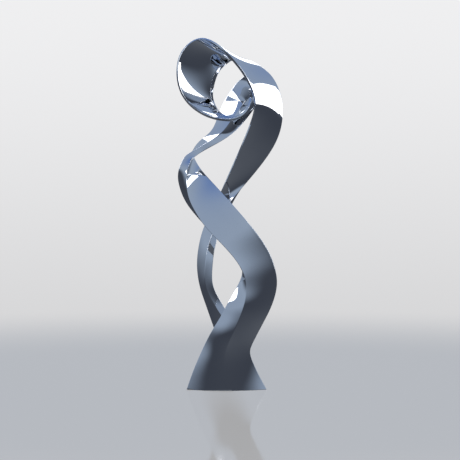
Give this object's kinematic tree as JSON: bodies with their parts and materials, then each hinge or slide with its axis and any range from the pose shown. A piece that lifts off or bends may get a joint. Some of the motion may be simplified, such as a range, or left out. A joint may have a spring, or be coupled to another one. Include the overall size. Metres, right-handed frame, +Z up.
{
  "type": "abstract metal sculpture",
  "caption": "Twisted mirror-polished metal band that rises from a flared foot, winds through an open loop at the top and returns behind itself to the foot.",
  "frame": {"origin": "on the ground under the middle of the work", "axes": "+Z up, +X to the viewer's right when seen from the front, +Y to the back"},
  "size_m": [0.6016, 0.3292, 1.995],
  "materials": {
    "polished_steel": "mirror polish"
  },
  "bodies": {
    "root": {"ribbon": "polished_steel"}
  },
  "joints": []
}
